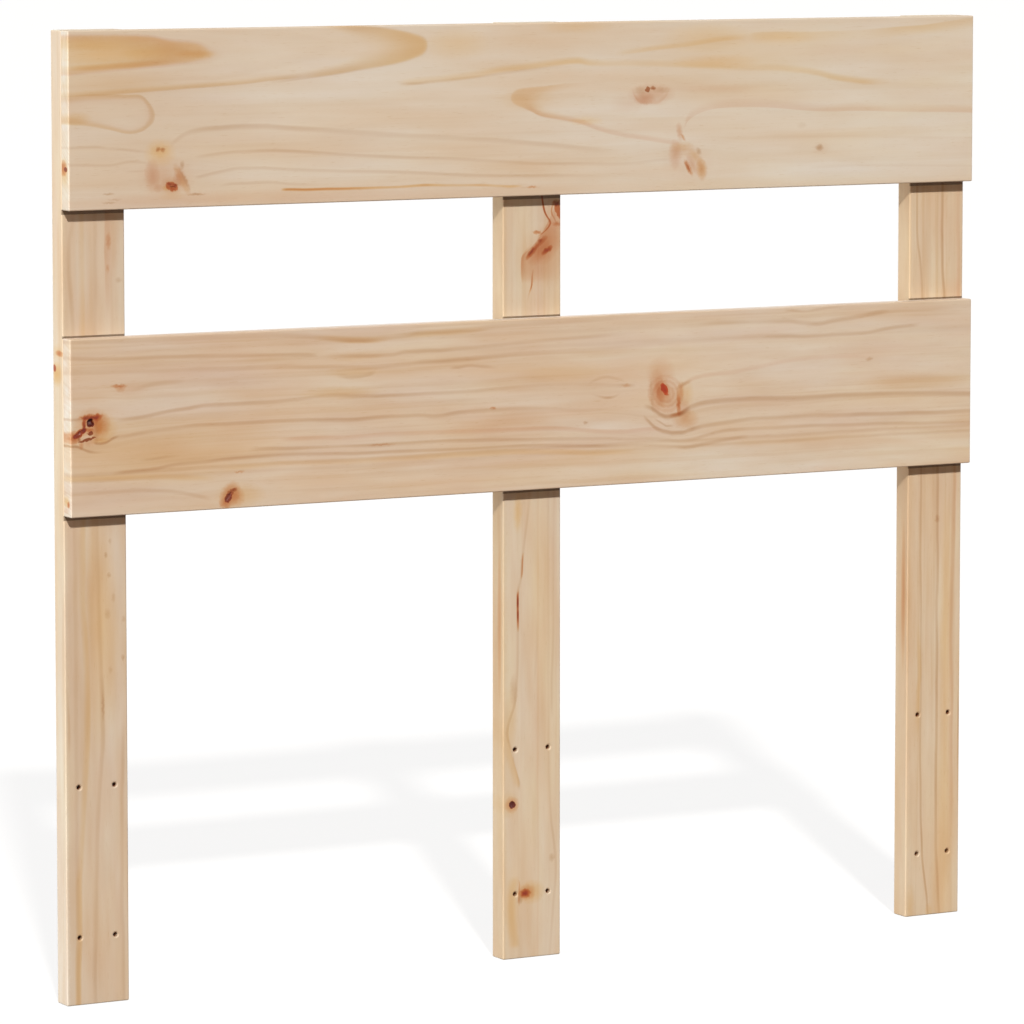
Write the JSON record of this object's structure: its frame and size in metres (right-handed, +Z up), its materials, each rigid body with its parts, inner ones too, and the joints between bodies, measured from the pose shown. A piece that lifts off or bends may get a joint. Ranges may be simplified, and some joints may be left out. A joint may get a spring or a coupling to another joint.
{
  "type": "pine bed headboard",
  "caption": "Pine bed headboard: flat upright posts joined across the front by wide horizontal planks, with bolt holes low in the posts for a bed frame.",
  "frame": {"origin": "on the floor, below the middle of the headboard's bounding box", "axes": "+Z up; +X along the planks, to the right for someone looking at their faces; -Y the way the planks' faces look, towards the bed"},
  "size_m": [1.09, 0.042, 1],
  "materials": {
    "pine": "planed and sanded, unlacquered",
    "zinc_steel": "zinc plated"
  },
  "bodies": {
    "root": {"left_post": "pine", "centre_post": "pine", "right_post": "pine", "top_plank": "pine", "lower_plank": "pine", "top_left_screws": "zinc_steel", "top_centre_screws": "zinc_steel", "top_right_screws": "zinc_steel", "lower_left_screws": "zinc_steel", "lower_centre_screws": "zinc_steel", "lower_right_screws": "zinc_steel"}
  },
  "joints": []
}
